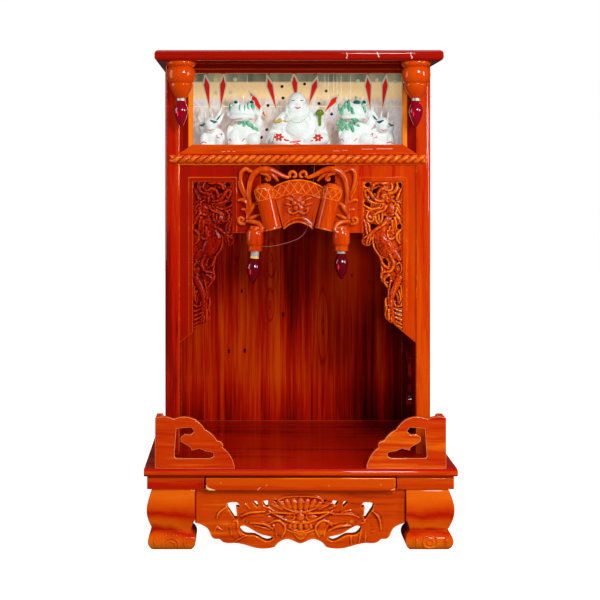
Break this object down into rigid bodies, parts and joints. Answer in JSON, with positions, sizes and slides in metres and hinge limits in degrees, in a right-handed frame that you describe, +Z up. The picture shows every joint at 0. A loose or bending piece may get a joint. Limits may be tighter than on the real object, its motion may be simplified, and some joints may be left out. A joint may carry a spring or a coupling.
{
  "type": "household altar cabinet",
  "caption": "Lacquered wooden altar cabinet on carved legs, with an open arched niche, a glazed display box above and a pull-out tray in the base.",
  "frame": {"origin": "on the floor under the middle of the deck", "axes": "+Z up, -Y to the front, +X to the viewer's right"},
  "size_m": [0.48, 0.44, 0.7723],
  "materials": {
    "red_lacquer": "deep red-brown stain under high-gloss lacquer, straight grain",
    "amber_lacquer": "orange-red stain under high-gloss lacquer, rubbed paler on the edges",
    "clear_glass": "clear float glass",
    "gilt_mirror": "mirror with gilt and red rays",
    "ruby_glass": "magenta-red lamp glass",
    "lamp_metal": "plain lamp cap",
    "porcelain": "white glaze with painted touches",
    "wire_cover": "thin single-core wire cover"
  },
  "bodies": {
    "cabinet": {"deck": "red_lacquer", "apron_back": "red_lacquer", "apron_left": "red_lacquer", "apron_right": "red_lacquer", "base_rail_front_left": "red_lacquer", "base_rail_front_right": "red_lacquer", "base_rail_left": "red_lacquer", "base_rail_right": "red_lacquer", "base_rail_back": "red_lacquer", "stile_left": "red_lacquer", "stile_right": "red_lacquer", "side_wall_left": "red_lacquer", "side_wall_right": "red_lacquer", "back_wall": "red_lacquer", "cross_rail": "red_lacquer", "top_rail": "red_lacquer", "shelf": "red_lacquer", "frame_bottom": "red_lacquer", "frame_top": "red_lacquer", "frame_left": "red_lacquer", "frame_right": "red_lacquer", "top_board": "red_lacquer", "tray_runners": "red_lacquer", "leg_front_left": "amber_lacquer", "leg_front_right": "amber_lacquer", "leg_back_left": "amber_lacquer", "leg_back_right": "amber_lacquer", "apron_front": "amber_lacquer", "fence_front_left": "amber_lacquer", "fence_front_right": "amber_lacquer", "fence_side_left": "amber_lacquer", "fence_side_right": "amber_lacquer", "arch_panel_left": "amber_lacquer", "arch_panel_right": "amber_lacquer", "dragon_left": "amber_lacquer", "dragon_right": "amber_lacquer", "rope_moulding": "amber_lacquer", "valance": "amber_lacquer", "pendant_left": "amber_lacquer", "pendant_right": "amber_lacquer", "lamp_cup_left": "amber_lacquer", "lamp_cup_right": "amber_lacquer", "glass_pane": "clear_glass", "halo_panel": "gilt_mirror", "lamp_bulbs": "ruby_glass", "lamp_caps": "lamp_metal", "seated_figure": "porcelain", "porcelain_beasts": "porcelain", "lamp_wire": "wire_cover"},
    "tray": {"tray_board": "red_lacquer", "tray_front": "amber_lacquer"}
  },
  "joints": [
    {"name": "tray_slide", "type": "slide", "parent": "cabinet", "child": "tray", "axis": [0, -1, 0], "range_m": [0, 0.2]}
  ]
}
